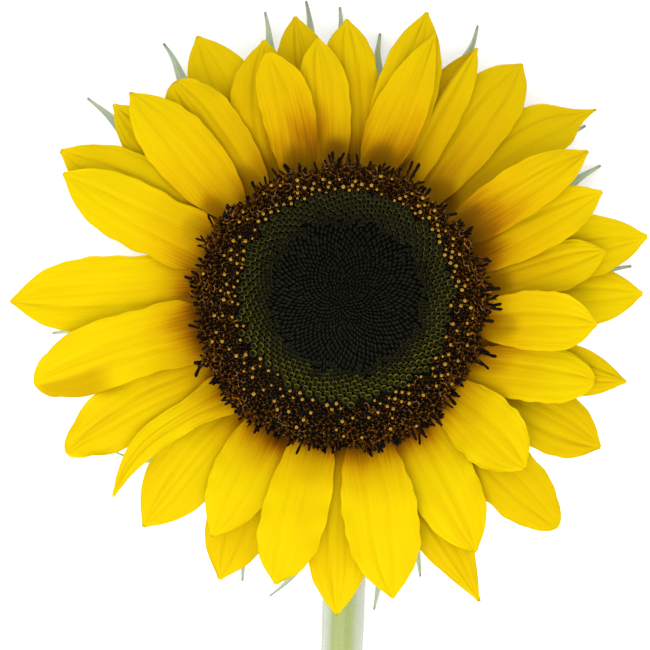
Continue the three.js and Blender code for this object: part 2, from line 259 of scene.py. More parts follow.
class Nodes:
    """A material's node tree, with short calls for the nodes that the materials share."""

    def __init__(self, name):
        self.material = bpy.data.materials.new(name)
        self.material.use_nodes = True
        self.tree = self.material.node_tree
        self.shader = self.tree.nodes["Principled BSDF"]
        self.output = self.tree.nodes["Material Output"]

    def add(self, kind, **values):
        node = self.tree.nodes.new("ShaderNode" + kind)
        for key, value in values.items():
            setattr(node, key, value)
        return node

    def link(self, source, target):
        self.tree.links.new(source, target)

    def value(self, name):
        return self.add("Attribute", attribute_name=name).outputs["Fac"]

    def vector(self, name):
        return self.add("Attribute", attribute_name=name).outputs["Vector"]

    def position(self):
        return self.add("TexCoord").outputs["Object"]

    def scaled(self, vector, scale):
        node = self.add("Mapping")
        self.link(vector, node.inputs["Vector"])
        node.inputs["Scale"].default_value = scale
        return node.outputs["Vector"]

    def noise(self, vector, scale, detail=4.0, rough=0.5, distortion=0.0):
        node = self.add("TexNoise")
        self.link(vector, node.inputs["Vector"])
        node.inputs["Scale"].default_value = scale
        node.inputs["Detail"].default_value = detail
        node.inputs["Roughness"].default_value = rough
        node.inputs["Distortion"].default_value = distortion
        return node.outputs["Fac"]

    def ramp(self, value, stops, interpolation="LINEAR"):
        node = self.add("ValToRGB")
        self.link(value, node.inputs["Fac"])
        node.color_ramp.interpolation = interpolation
        elements = node.color_ramp.elements
        while len(elements) < len(stops):
            elements.new(0.5)
        for element, (place, colour) in zip(elements, stops):
            element.position = place
            element.color = surface(colour)
        return node.outputs["Color"]

    def remap(self, value, source, target=(0.0, 1.0), kind="LINEAR"):
        """value from the source range brought to the target range, and kept inside it."""
        node = self.add("MapRange", interpolation_type=kind)
        self.link(value, node.inputs["Value"])
        for key, number in zip(("From Min", "From Max", "To Min", "To Max"), (*source, *target)):
            node.inputs[key].default_value = number
        return node.outputs["Result"]

    def spread(self, value, low, high):
        return self.remap(value, (0.0, 1.0), (low, high))

    def range(self, value, from_low, from_high, low, high):
        return self.remap(value, (from_low, from_high), (low, high), "SMOOTHSTEP")

    def math(self, operation, a, b):
        node = self.add("Math", operation=operation)
        for socket, value in zip(node.inputs, (a, b)):
            if isinstance(value, (int, float)):
                socket.default_value = value
            else:
                self.link(value, socket)
        return node.outputs["Value"]

    def mix(self, share, a, b, blend="MIX"):
        node = self.add("Mix", data_type="RGBA", blend_type=blend)
        colour_a, colour_b = node.inputs[6], node.inputs[7]
        for socket, value in ((node.inputs[0], share), (colour_a, a), (colour_b, b)):
            if isinstance(value, (int, float)):
                socket.default_value = value
            elif isinstance(value, tuple):
                socket.default_value = surface(value)
            else:
                self.link(value, socket)
        return node.outputs[2]

    def bump(self, height, distance_mm, strength=1.0, after=None):
        node = self.add("Bump")
        node.inputs["Strength"].default_value = strength
        node.inputs["Distance"].default_value = distance_mm * MM
        self.link(height, node.inputs["Height"])
        if after is not None:
            self.link(after, node.inputs["Normal"])
        return node.outputs["Normal"]

    def finish(self, colour, rough, normal, shine, **constants):
        """The material from its colour, roughness, normal and specular level, and other fixed values."""
        self.link(colour, self.shader.inputs["Base Color"])
        self.link(normal, self.shader.inputs["Normal"])
        self.shader.inputs["Specular IOR Level"].default_value = shine
        if isinstance(rough, (int, float)):
            self.shader.inputs["Roughness"].default_value = rough
        else:
            self.link(rough, self.shader.inputs["Roughness"])
        for key, value in constants.items():
            self.shader.inputs[key.replace("_", " ")].default_value = value
        return self.material

    def glow_through(self, colour, share):
        """Some of the light passes through, as in a thin petal."""
        through = self.add("BsdfTranslucent")
        self.link(colour, through.inputs["Color"])
        mixed = self.add("MixShader")
        mixed.inputs["Fac"].default_value = share
        self.link(self.shader.outputs["BSDF"], mixed.inputs[1])
        self.link(through.outputs["BSDF"], mixed.inputs[2])
        self.link(mixed.outputs["Shader"], self.output.inputs["Surface"])


def petal_material():
    n = Nodes("petal")
    blade = n.vector("blade")  # millimetres across, millimetres from the foot, a number for the ray
    out = n.value("out")  # millimetres from the foot, stretched per ray so that upper rays get more painted shade
    tone = n.value("tone")
    veins = n.noise(n.scaled(blade, (2.6, 0.045, 3.0)), 1.0, detail=3.0, rough=0.6)
    patches = n.noise(n.scaled(blade, (0.12, 0.05, 2.0)), 1.0, detail=2.0)
    streaked = n.math("ADD", out, n.spread(veins, -6.0, 6.0))
    ragged = n.math("ADD", streaked, n.spread(patches, -9.0, 9.0))
    # Dark brown at the foot to yellow: partly the rays' own amber foot, partly painted shade near the disc.
    yellow = n.ramp(n.remap(ragged, (-4.0, 32.0)), [
        (0.0, (0.07, 0.016, 0.0)),
        (0.11, (0.21, 0.060, 0.0)),
        (0.22, (0.44, 0.180, 0.0)),
        (0.33, (0.57, 0.315, 0.0)),
        (0.46, (0.645, 0.405, 0.0)),
        (0.75, (0.685, 0.490, 0.0)),
        (1.0, (0.69, 0.515, 0.0)),
    ])
    warm = n.mix(n.range(patches, 0.35, 0.75, 0.0, 0.30), yellow, (0.62, 0.38, 0.0))
    fine = n.mix(n.range(veins, 0.30, 0.55, 0.16, 0.0), warm, (0.53, 0.32, 0.0))
    # Painted shade: rays darkened for the shade they lie in, more on upper rays away from the light, and
    # along their folds and grooves; a little of the darkening is random tone.
    toned = n.mix(n.range(tone, 0.0, 2.0, 0.0, 0.84), fine, (0.485, 0.297, 0.0))
    # Painted shade: a soft dark patch near the foot, strongest on upper rays.
    soft = n.math("MULTIPLY", n.value("foot_shade"), n.range(patches, 0.30, 0.60, 0.6, 1.0))
    foot_shaded = n.mix(soft, toned, (0.20, 0.088, 0.0))
    tip = n.mix(n.value("tip"), foot_shaded, (0.16, 0.08, 0.010))
    normal = n.bump(veins, 0.10, 0.45)
    n.finish(tip, n.spread(veins, 0.50, 0.70), normal, 0.025)
    n.glow_through(tip, 0.26)
    return n.material


def bract_material():
    n = Nodes("bract_leaf")
    blade = n.vector("blade")
    veins = n.noise(n.scaled(blade, (2.2, 0.06, 1.0)), 1.0, detail=3.0)
    patches = n.noise(n.scaled(blade, (0.35, 0.12, 2.0)), 1.0, detail=3.0)
    green = n.ramp(patches, [(0.30, (0.17, 0.25, 0.07)), (0.70, (0.32, 0.40, 0.18))])
    pale = n.mix(n.range(veins, 0.45, 0.72, 0.0, 0.5), green, (0.46, 0.50, 0.34))
    greyed = n.mix(n.range(n.value("out"), 22.0, 46.0, 0.0, 0.6), pale, (0.48, 0.54, 0.44))
    tip = n.mix(n.value("tip"), greyed, (0.20, 0.14, 0.09))
    down = n.noise(n.position(), 2600.0, detail=2.0)
    normal = n.bump(down, 0.05, 0.5, after=n.bump(veins, 0.25, 0.6))
    n.finish(tip, 0.72, normal, 0.3, Sheen_Weight=0.45, Sheen_Roughness=0.45)
    n.glow_through(tip, 0.12)
    return n.material


def stem_material():
    n = Nodes("stem_skin")
    blade = n.vector("blade")  # millimetres across and up from the stem's middle line, millimetres along
    ribs = n.noise(n.scaled(blade, (0.55, 0.55, 0.012)), 1.0, detail=3.0)
    flecks = n.noise(n.scaled(blade, (1.5, 1.5, 0.35)), 1.0, detail=5.0, rough=0.65)
    green = n.ramp(ribs, [
        (0.30, (0.21, 0.26, 0.075)),
        (0.52, (0.25, 0.30, 0.10)),
        (0.78, (0.29, 0.34, 0.14)),
    ])
    flecked = n.mix(n.range(flecks, 0.55, 0.78, 0.0, 0.20), green, (0.36, 0.40, 0.22))
    # Painted sheen: the stem's flanks, its edges as seen from above, are paler.
    flank_sheened = n.mix(n.value("flank_sheen"), flecked, (0.40, 0.43, 0.37))
    scarred = n.mix(n.value("scar"), flank_sheened, (0.40, 0.31, 0.16))
    normal = n.bump(flecks, 0.10, 0.4, after=n.bump(ribs, 0.4, 0.4))
    return n.finish(scarred, 0.6, normal, 0.2, Sheen_Weight=0.25, Sheen_Roughness=0.5)


def pith_material():
    n = Nodes("stem_pith")
    blade = n.vector("blade")
    grain = n.noise(blade, 2.2, detail=4.0)
    ring = n.math("ADD", n.value("ring"), n.spread(grain, -0.10, 0.10))
    colour = n.ramp(ring, [
        (0.0, (0.68, 0.68, 0.50)),
        (0.55, (0.60, 0.62, 0.38)),
        (0.72, (0.34, 0.42, 0.14)),
        (0.92, (0.42, 0.47, 0.20)),
    ])
    return n.finish(colour, 0.65, n.bump(grain, 0.3, 0.6), 0.3)


def hair_material():
    n = Nodes("stem_hair")
    grain = n.noise(n.position(), 900.0, detail=2.0)
    colour = n.ramp(grain, [(0.3, (0.52, 0.56, 0.40)), (0.7, (0.72, 0.74, 0.62))])
    return n.finish(colour, 0.5, n.bump(grain, 0.02, 0.3), 0.3)


def receptacle_material():
    n = Nodes("receptacle_skin")
    place = n.position()
    mottle = n.noise(place, 260.0, detail=5.0)
    down = n.noise(place, 2400.0, detail=2.0)
    green = n.ramp(mottle, [(0.3, (0.17, 0.23, 0.07)), (0.7, (0.34, 0.41, 0.17))])
    colour = n.mix(n.value("bed"), green, (0.06, 0.026, 0.002))
    normal = n.bump(down, 0.08, 0.5, after=n.bump(mottle, 0.5, 0.5))
    return n.finish(colour, 0.7, normal, 0.12)


BROWNED = (0.012, 0.008, 0.004)  # what a disc floret's colour tends to where nothing else is said


def floret_material(name, stops, shine, dull=BROWNED, rough=0.6, grain=2200.0, depth=0.06):
    """Disc florets: colour by how far up the floret a point is, and by each floret's own tone."""
    n = Nodes(name)
    speck = n.noise(n.position(), grain, detail=3.0)
    up = n.math("ADD", n.value("up"), n.spread(speck, -0.18, 0.18))
    colour = n.ramp(up, stops)
    varied = n.mix(n.spread(n.value("tone"), 0.0, 0.55), colour, dull)
    normal = n.bump(speck, depth, 0.6)
    return n.finish(varied, n.spread(speck, rough - 0.12, rough + 0.15), normal, shine)


MATERIALS = {
    "petal": petal_material(),
    "bract": bract_material(),
    "stem": stem_material(),
    "receptacle": receptacle_material(),
    "pith": pith_material(),
    "hair": hair_material(),
    "centre": floret_material("disc_centre", [
        (0.0, (0.002, 0.002, 0.001)),
        (0.55, (0.0048, 0.0050, 0.0022)),
        (1.0, (0.0088, 0.0094, 0.0045)),
    ], 0.04, dull=(0.0050, 0.0062, 0.0035)),
    "buds": floret_material("disc_buds", [
        (0.0, (0.002, 0.002, 0.001)),
        (0.30, (0.010, 0.010, 0.002)),
        (0.65, (0.056, 0.051, 0.002)),
        (1.0, (0.225, 0.200, 0.008)),
    ], 0.04, dull=(0.010, 0.010, 0.004)),
    "corolla": floret_material("disc_florets", [
        (0.0, (0.008, 0.003, 0.0)),
        (0.45, (0.060, 0.020, 0.001)),
        (0.80, (0.150, 0.054, 0.002)),
        (1.0, (0.320, 0.145, 0.018)),
    ], 0.03, rough=0.5),
    "anther": floret_material("anthers", [
        (0.0, (0.040, 0.014, 0.002)),
        (0.4, (0.005, 0.002, 0.001)),
        (1.0, (0.002, 0.001, 0.001)),
    ], 0.03, rough=0.55),
    "pollen": floret_material("pollen", [
        (0.0, (0.06, 0.020, 0.001)),
        (0.5, (0.17, 0.080, 0.005)),
        (1.0, (0.37, 0.215, 0.025)),
    ], 0.05, rough=0.75, grain=5200.0, depth=0.09),
    "stigma": floret_material("stigmas", [
        (0.0, (0.08, 0.025, 0.006)),
        (1.0, (0.30, 0.15, 0.06)),
    ], 0.05),
}

# ---- rays

RAY_COUNT = 40
RAY_ROWS = 92
RAY_COLUMNS = 37
RAY_THICKNESS = 0.34

# What sets single rays apart. Shares: blunt (how round the tip is), dark (how much painted shade
# darkens it), foot (how much wider its foot is), spur (how much the tip narrows), wide (its right and
# left half against the CAD's) and reach (its length against the CAD's). Millimetres: lift, hook (a bow
# sideways), keel (how much deeper its middle groove is) and wavy (the waves of its edge). Degrees:
# turn. fold is a side folded down: which side (left +1, right -1), from which share of the length,
# over which share, and how deep in millimetres; the folded side is painted darker, as painted shade.
RAY_SHAPES = {
    3: {"foot": 0.3, "reach": 1.012},
    5: {"dark": 0.5, "foot": 0.3},
    7: {"spur": 0.45, "dark": 0.15, "reach": 1.025},
    8: {"dark": 0.35},
    9: {"fold": (1, 0.05, 0.25, 3.0), "dark": 0.2},
    10: {"dark": 0.2},
    12: {"dark": 0.35},
    14: {"dark": 0.35},
    15: {"blunt": 0.3},
    16: {"wide": (1.0, 1.15), "dark": 0.3, "lift": 0.4},
    17: {"dark": 0.3},
    18: {"blunt": 0.8, "dark": 0.4},
    20: {"dark": 0.4},
    21: {"dark": 0.45, "foot": 0.4},
    22: {"foot": 0.45},
    23: {"foot": 0.6, "turn": 0.9},
    24: {"fold": (1, 0.50, 0.2, 1.7), "lift": 0.6, "blunt": 0.7, "keel": 0.2, "dark": 0.15, "foot": 0.5},
    25: {"blunt": 0.6, "wavy": 0.8, "dark": 0.45, "foot": 0.4, "turn": -1.1},
    26: {"keel": 0.25, "blunt": 0.4, "dark": 0.3, "hook": -2.4, "foot": 0.4},
    27: {"dark": 0.35},
    28: {"turn": 1.1},
    29: {"dark": 0.6},
    31: {"dark": 0.35},
    33: {"dark": 0.75},
    35: {"blunt": 0.6, "dark": 0.75, "turn": -1.0, "reach": 0.98},
    36: {"turn": -1.3, "reach": 0.99},
    37: {"dark": 0.75, "turn": -1.2},
    38: {"blunt": 0.5},
    39: {"dark": 0.5, "turn": -0.8},
    40: {"lift": 0.5},
}
FOOT_TUCK = 0.07


def ray_relief(t, across, half, rng, shape):
    """Height added to a ray by its trough, grooves, pleats and waves, and where its dark lines are."""
    v = across / np.maximum(half, 0.5)
    body = smooth(t, 0.02, 0.25) * (1 - smooth(t, 0.86, 1.0))
    cup = rng.uniform(-0.7, 0.5) * (v * v - 0.4) * np.minimum(half / 9, 1.2)
    grooves, lines = 0, 0
    for side in (-1, 1):
        place = side * rng.uniform(0.22, 0.42) * (1 - 0.3 * t) + 0.06 * np.sin(3 * t + rng.uniform(0, 6))
        depth = rng.uniform(0.20, 0.50)
        grooves = grooves - depth * bump_at(v, place, rng.uniform(0.05, 0.09))
        lines = lines + 1.6 * depth * bump_at(v, place, 0.04)
    more_keel = shape.get("keel", 0.0)
    keel = -(rng.uniform(0.0, 0.2) + more_keel) * bump_at(v, 0, 0.07 + 0.1 * more_keel)
    lines = lines + rng.choice([0.0, 0.5]) * bump_at(v, 0, 0.03)
    pleats = 0
    for count in (7, 13):
        stretch = 1 + 0.06 * rng.normal()
        pleats = pleats + np.sin(math.pi * count * v * stretch + rng.uniform(0, 6.3)) / count
    swell = waves(t * 1.3, v * 0.3, rng, 4, 0.4, 1.2) * 0.38
    edge = np.abs(v) ** 4 * waves(t * 3.2, v * 0.3, rng, 3, 0.5, 1.5) * (0.35 + shape.get("wavy", 0.0))
    foot = 0.9 * (1 - smooth(t, 0.0, 0.22)) * (np.abs(v) ** 2 - 0.3)
    ridges = body * (cup + grooves + keel + rng.uniform(0.15, 0.4) * pleats)
    lift = shape.get("lift", 0.0) * smooth(t, 0, 0.5)
    height = ridges + swell * smooth(t, 0.1, 0.5) + edge * smooth(t, 0.15, 0.5) + foot + lift
    return height, lines * smooth(t, 0.10, 0.35) * (1 - smooth(t, 0.92, 1.0))


def fold_side(v, t, fold):
    """How far one side of a ray is folded down, in millimetres, and the share of the fold there."""
    side, start, end, depth = fold
    along = smooth(t, start, start + end) * (1 - 0.6 * smooth(t, 0.93, 1.0))
    share = along * smooth(v * side, 0.20, 0.32)
    return -depth * (0.6 * share + 0.4 * share * np.abs(v)), share


def ray_grid(blade, rng, shape):
    """A ray's top, with each point's share along, distance across and how shaded by folds and grooves."""
    t = np.linspace(0, 1, RAY_ROWS) ** 0.92 * (1 + FOOT_TUCK) - FOOT_TUCK
    v = np.sin(np.linspace(-1, 1, RAY_COLUMNS) * math.pi / 2 * 0.98) / math.sin(math.pi / 2 * 0.98)
    t, v = np.meshgrid(t, v, indexing="ij")
    half = blade.at(t, 2)
    blunt = shape.get("blunt", 0.0)
    if blunt:
        end = np.sqrt(np.clip(1 - ((t - 0.86) / 0.14).clip(0, 1) ** 2, 0, 1))
        rounder = np.maximum(half, blade.at(np.full_like(t, 0.86), 2) * end * 0.92)
        half = half + blunt * (rounder - half) * (t > 0.86)
    half = half * (1 + shape.get("foot", 0.08) * (1 - smooth(t, 0.06, 0.34)))
    frill = 1 + 0.018 * waves(t * 5, np.zeros_like(t), rng, 3, 0.6, 1.6) * (np.abs(v) > 0.5)
    right, left = shape.get("wide", (1.0, 1.0))
    half = half * np.where(v > 0, left, right)
    if "spur" in shape:
        half = half * (1 - shape["spur"] * smooth(t, 0.76, 0.92))
    drop, folded = 0.0, np.zeros_like(t)
    if "fold" in shape:
        drop, folded = fold_side(v, t, shape["fold"])
    across = v * half * frill
    reach = t * blade.span * shape.get("reach", 1.0)
    turn = reach * math.tan(math.radians(shape.get("turn", 0.0)))
    s = reach[..., None]
    hook = shape.get("hook", 0.0) * np.sin(math.pi * np.clip(t, 0, 1) ** 1.8)
    side = (blade.at(t, 1) + across + hook + turn)[..., None]
    plan = blade.foot[:2] + s * blade.along + side * blade.across
    relief, lines = ray_relief(t, across, half, rng, shape)
    height = blade.at(t, 3) + drop + relief
    top = np.concatenate([plan, height[..., None]], -1)
    return top, t, across, 1.4 * folded + 1.1 * lines


def make_ray(number):
    name = f"ray_{number:02d}"
    rng = rng_for(1, number)
    shape = RAY_SHAPES.get(number, {})
    blade = Blade(to_head(node_points(name)))
    top, t, across, shade = ray_grid(blade, rng, shape)
    bottom = top - np.array([0, 0, RAY_THICKNESS])
    points, faces = leaf_shell(top, bottom)
    upper = float(smooth(blade.along[1] + 0.25 * blade.along[0], -0.3, 0.9))
    lower = float(smooth(-blade.along[1], 0.2, 0.9))
    out = np.hypot(top[..., 0] - DISC_SHIFT[0], top[..., 1] - DISC_SHIFT[1]) - DISC_EDGE
    # Painted shade: the ray's dark share, more on upper rays away from the light, and its folds and
    # grooves; plus a little random tone.
    tone = shape.get("dark", 0.0) + 0.30 * upper + rng.uniform(0, 0.12) + shade
    # Painted shade: a soft dark patch a few millimetres out from the disc, strongest on upper rays away
    # from the light.
    middle = rng.uniform(-1, 1) * 4.5
    far = np.hypot((out - rng.uniform(3.0, 5.0)) / 4.0, (across - middle) / 3.4)
    foot_shade = np.exp(-far ** 4) * (0.18 + 0.80 * upper) * rng.uniform(0.6, 1.0)
    # Painted shade: the brown of the foot reaches further out on upper rays, away from the light, and less
    # far on lower rays.
    out = out * (1.7 - 0.9 * upper + 0.55 * lower) + 0.8 - 3.3 * upper + rng.uniform(-1.0, 1.0)
    tip = smooth(t, 0.985, 1.0) * rng.choice([0.0, 0.1, 0.6])
    flat = np.stack([across, t * blade.span, np.full_like(t, number * 7.3)], -1)
    grids = {"blade": flat, "out": out, "tone": np.clip(tone, 0, 2), "foot_shade": foot_shade, "tip": tip}
    values = {key: both_sides(grid) for key, grid in grids.items()}
    petal = make_mesh(f"{name}_petal", from_head(points), faces, MATERIALS["petal"], values)
    keep(petal, "petal", name)


# ---- bracts

BRACT_COUNT = 15
BRACT_ROWS = 60
BRACT_COLUMNS = 21
BRACT_THICKNESS = 0.5
BRACT_REACH = 1.035  # every bract's length against its CAD solid's
BRACT_LENGTHS = {13: 1.07, 14: 1.07, 15: 0.86}  # a further share for some bracts
BRACT_HOOKS = {11: 10.0, 13: 4.5, 14: 1.5}  # a bow sideways
SMALL_BRACTS = ((5, -8.0, 0.86), (14, 9.5, 0.92))  # the bract it is like, degrees round from it, length


def bract_top(blade, rng, length, hook):
    """A bract's top, with each point's share along and distance across."""
    t = np.linspace(0, 1, BRACT_ROWS)
    v = np.sin(np.linspace(-1, 1, BRACT_COLUMNS) * math.pi / 2)
    t, v = np.meshgrid(t, v, indexing="ij")
    half = blade.at(t, 2) * (1 - 0.35 * smooth(t, 0.15, 0.95))
    side = blade.at(t, 1) + v * half + 0.5 * waves(t * 1.5, np.zeros_like(t), rng, 2) * smooth(t, 0.4, 1.0)
    side = side + hook * np.sin(math.pi * t ** 2)
    reach = t * blade.span * BRACT_REACH * length
    plan = blade.foot[:2] + reach[..., None] * blade.along + side[..., None] * blade.across
    trough = 0.10 * half * v * v * 2 + 0.35 * bump_at(v, 0, 0.12) - 0.12 * (bump_at(np.abs(v), 0.45, 0.1))
    height = blade.at(t, 3) + trough + 0.4 * waves(t * 1.3, v * 0.2, rng, 3) * smooth(t, 0.1, 0.6)
    return np.concatenate([plan, height[..., None]], -1), t, v * half


def bract_piece(name, blade, rng, length, hook, *nodes):
    top, t, across = bract_top(blade, rng, length, hook)
    points, faces = leaf_shell(top, top - np.array([0, 0, BRACT_THICKNESS]) * (1 - 0.5 * t[..., None]))
    points[:, :2] += HEAD_ORIGIN[:2]
    points[:, 2] = np.maximum(points[:, 2], LOWEST)
    out = np.hypot(top[..., 0], top[..., 1]) - RIM_RADIUS
    flat = np.stack([across, t * blade.span, np.full_like(t, rng.uniform(0, 50))], -1)
    grids = {"blade": flat, "out": out, "tip": smooth(t, 0.96, 1.0) * 0.7}
    values = {key: both_sides(grid) for key, grid in grids.items()}
    keep(make_mesh(name, points, faces, MATERIALS["bract"], values), "bract_leaf", *nodes)


def make_bract(number):
    name = f"bract_{number:02d}"
    points = node_points(name)
    points[:, :2] -= HEAD_ORIGIN[:2]
    length, hook = BRACT_LENGTHS.get(number, 1.0), BRACT_HOOKS.get(number, 0.0)
    bract_piece(f"{name}_leaf", Blade(points), rng_for(2, number), length, hook, name)


def make_small_bract(number, like, turn, length):
    """A bract that mostly hides behind the rays."""
    points = node_points(f"bract_{like:02d}")
    points[:, :2] -= HEAD_ORIGIN[:2]
    c, s = math.cos(math.radians(turn)), math.sin(math.radians(turn))
    points[:, :2] = points[:, :2] @ np.array([[c, s], [-s, c]])
    bract_piece(f"small_bract_{number}_leaf", Blade(points), rng_for(10, number), length, 0.0)


# ---- receptacle


def make_receptacle():
    """The green cup that the florets sit on, ribbed towards the rim and closing on the stem."""
    corner = np.array([
        (0.1, RIM_TOP - 1.6),
        (RIM_RADIUS - 6.5, RIM_TOP - 1.6),
        (RIM_RADIUS - 5.0, RIM_TOP - 2.4),
        (RIM_RADIUS - 3.4, RIM_TOP - 4.5),
        (RIM_RADIUS - 0.6, RIM_BOTTOM + 4),
        (RIM_RADIUS - 1.5, RIM_BOTTOM),
        (RIM_RADIUS * 0.72, -13.2),
        (RIM_RADIUS * 0.42, -15.0),
        (9.0, -15.9),
        (6.2, -16.9),
        (5.7, -18.6),
    ])
    length = np.r_[0, np.cumsum(np.hypot(*np.diff(corner, axis=0).T))]
    u = np.linspace(0, length[-1], 90)
    r, z = curve_through(length, corner[:, 0], u), curve_through(length, corner[:, 1], u)
    turn = np.linspace(0, 2 * math.pi, 240, endpoint=False)
    r, angle = np.meshgrid(r, turn, indexing="ij")
    z = np.repeat(z[:, None], len(turn), 1)
    rng = rng_for(3)
    under = smooth(-z, -1.0, 8.0) * smooth(r, 6.5, 16)
    ribs = np.sin(34 * angle + 1.5 * np.sin(3 * angle)) * 0.35 * under
    lumps = waves(angle / 2 / math.pi * 9, r / 12, rng, 4, 0.8, 2.0) * 0.35 * under
    points = np.stack([r * np.cos(angle), r * np.sin(angle), z - ribs - lumps], -1)
    faces = grid_faces(*r.shape, wrap=True)[:, ::-1]
    bed = smooth(z, -5.5, -2.5).ravel()  # brown on top, under the florets
    points = from_head(points.reshape(-1, 3))
    piece = make_mesh("receptacle_cup", points, faces, MATERIALS["receptacle"], {"bed": bed})
    keep(piece, "receptacle_skin", "receptacle")


# ---- stem

STEM_ROWS = 260
STEM_SIDES = 72
NECK_DROP = 16.35
NECK_REACH = 26.0
NECK_RADIUS = 5.6
SIDE_SHIFT = 2.4
STEM_BOW = 3.5
SCARS = ((0.30, 2.6), (0.52, 0.4), (0.74, 4.4))


def bezier(points, t):
    points = [np.asarray(p, float)[None] for p in points]
    t = t[:, None]
    while len(points) > 1:
        points = [a * (1 - t) + b * t for a, b in zip(points, points[1:])]
    return points[0]


def stem_path():
    """The stem's middle line and radius from the cut end to the head."""
    lowest = node_points("stem").min(0)
    neck_end = from_head([0, 0, -NECK_DROP])
    axis = HEAD_TURN[2]
    cut = node_points("stem")
    cut = cut[cut[:, 1] < lowest[1] + 0.05].mean(0)
    cut_radius = (node_points("stem")[:, 2].min() - cut[2]) * -1
    bend_start = np.array([HEAD_ORIGIN[0] + SIDE_SHIFT, neck_end[1] - NECK_REACH, NECK_RADIUS])
    middle = (cut + bend_start) / 2
    middle[0] = HEAD_ORIGIN[0] + SIDE_SHIFT - STEM_BOW
    t = np.linspace(0, 1, 400)
    laid = bezier([cut, middle, bend_start], t)
    ahead = bend_start - middle
    ahead /= np.linalg.norm(ahead)
    handle = 0.6 * min(NECK_REACH, neck_end[2])
    bend = bezier([bend_start, bend_start + ahead * handle, neck_end - axis * handle, neck_end], t)
    path = np.concatenate([laid, bend[1:]])
    radius = np.concatenate([cut_radius + (NECK_RADIUS - cut_radius) * t, np.full(len(t) - 1, NECK_RADIUS)])
    length = np.r_[0, np.cumsum(np.linalg.norm(np.diff(path, axis=0), axis=1))]
    even = np.linspace(0, length[-1], STEM_ROWS)
    place = np.stack([np.interp(even, length, path[:, k]) for k in range(3)], -1)
    return place, np.interp(even, length, radius), even


def stem_frame(path):
    ahead = np.gradient(path, axis=0)
    ahead /= np.linalg.norm(ahead, axis=1)[:, None]
    side = np.cross(ahead, [0, 0, 1.0])
    side[np.linalg.norm(side, axis=1) < 0.2] = [1, 0, 0]
    side = side - (side * ahead).sum(1)[:, None] * ahead
    side /= np.linalg.norm(side, axis=1)[:, None]
    return ahead, side, np.cross(side, ahead)


def make_stem():
    rng = rng_for(4)
    path, radius, along = stem_path()
    ahead, side, up = stem_frame(path)
    turn = np.linspace(0, 2 * math.pi, STEM_SIDES, endpoint=False)
    u, angle = np.meshgrid(along, turn, indexing="ij")
    share = u / along[-1]
    ribs = 0.07 * np.sin(18 * angle + 0.6 * np.sin(u / 40)) + 0.05 * np.sin(11 * angle + 1.0)
    lumps = 0.10 * waves(u / 34, angle / 2 / math.pi * 3, rng, 4)
    scar = np.zeros_like(u)
    swell = 0
    for place, at in SCARS:
        off = np.abs((angle - at + math.pi) % (2 * math.pi) - math.pi) * radius[:, None]
        far = np.hypot((share - place) * along[-1] / 3.2, off / 4.2)
        swell = swell + 0.75 * np.exp(-(far / 1.3) ** 2) - 0.35 * np.exp(-(far / 0.75) ** 4)
        scar = np.maximum(scar, np.exp(-(far / 0.8) ** 4))
    r = radius[:, None] + ribs + lumps + swell - 0.10
    out = np.cos(angle)[..., None] * side[:, None] + np.sin(angle)[..., None] * up[:, None]
    points = path[:, None] + r[..., None] * out
    points[..., 2] = np.maximum(points[..., 2], LOWEST)
    faces = grid_faces(*u.shape, wrap=True)
    flat = np.stack([np.cos(angle) * 6, np.sin(angle) * 6, u], -1).reshape(-1, 3)
    # Painted sheen: paler on the flanks, the stem's edges as seen from above.
    flank_sheen = 0.85 * smooth(np.abs(np.cos(angle)), 0.35, 0.85)
    values = {"blade": flat, "scar": 0.8 * scar.ravel(), "flank_sheen": flank_sheen.ravel()}
    stalk = make_mesh("stem_stalk", points.reshape(-1, 3), faces, MATERIALS["stem"], values)
    keep(stalk, "stem_skin", "stem")
    make_cut_end(path[0], radius[0], ahead[0], side[0], up[0])
    make_hairs(path, radius, side, up)


def make_cut_end(middle, radius, ahead, side, up):
    """The cut across the stem: a rim of green, pale fibres and a soft pith that has sunk a little."""
    share = np.linspace(0.0, 1.0, 24)
    turn = np.linspace(0, 2 * math.pi, 96, endpoint=False)
    r, angle = np.meshgrid(share, turn, indexing="ij")
    rough = waves(r * 3 * np.cos(angle), r * 3 * np.sin(angle), rng_for(8), 5)
    depth = 0.7 * (1 - smooth(r, 0.45, 0.72)) + 0.12 * rough
    place = np.maximum(r, 0.01) * (radius - 0.12)
    points = middle + ahead * (depth + 0.05)[..., None]
    points = points + (place * np.cos(angle))[..., None] * side + (place * np.sin(angle))[..., None] * up
    flat = np.stack([place * np.cos(angle), place * np.sin(angle), np.zeros_like(r)], -1).reshape(-1, 3)
    faces = grid_faces(*r.shape, wrap=True)[:, ::-1]
    values = {"blade": flat, "ring": r.ravel()}
    keep(make_mesh("stem_cut", points.reshape(-1, 3), faces, MATERIALS["pith"], values), "stem_skin")


HAIR_COUNT = 2600
HAIR_RADIUS = 0.055


def make_hairs(path, radius, side, up):
    """Short bristles all over the stem, as one mesh."""
    rng = rng_for(9)
    points, faces = [], []
    for _ in range(HAIR_COUNT):
        i = rng.integers(2, len(path) - 2)
        angle = rng.uniform(0, 2 * math.pi)
        out = math.cos(angle) * side[i] + math.sin(angle) * up[i]
        foot = path[i] + out * (radius[i] - 0.1) + (path[i + 1] - path[i]) * rng.random()
        if foot[2] < 1.0:
            continue
        aim = out + rng.normal(0, 0.35, 3)
        tip = foot + aim / np.linalg.norm(aim) * rng.uniform(0.5, 1.2)
        across = np.cross(aim, path[i + 1] - path[i])
        across = across / np.linalg.norm(across) * HAIR_RADIUS
        other = np.cross(across, aim)
        other = other / np.linalg.norm(other) * HAIR_RADIUS
        a = len(points)
        b, c, point = a + 1, a + 2, a + 3
        points.extend([foot + across, foot - 0.5 * across + 0.87 * other])
        points.extend([foot - 0.5 * across - 0.87 * other, tip])
        faces.extend([(a, b, point), (b, c, point), (c, a, point)])
    keep(make_mesh("stem_hairs", points, faces, MATERIALS["hair"]), "stem_skin")


# ---- small parts gathered into one mesh


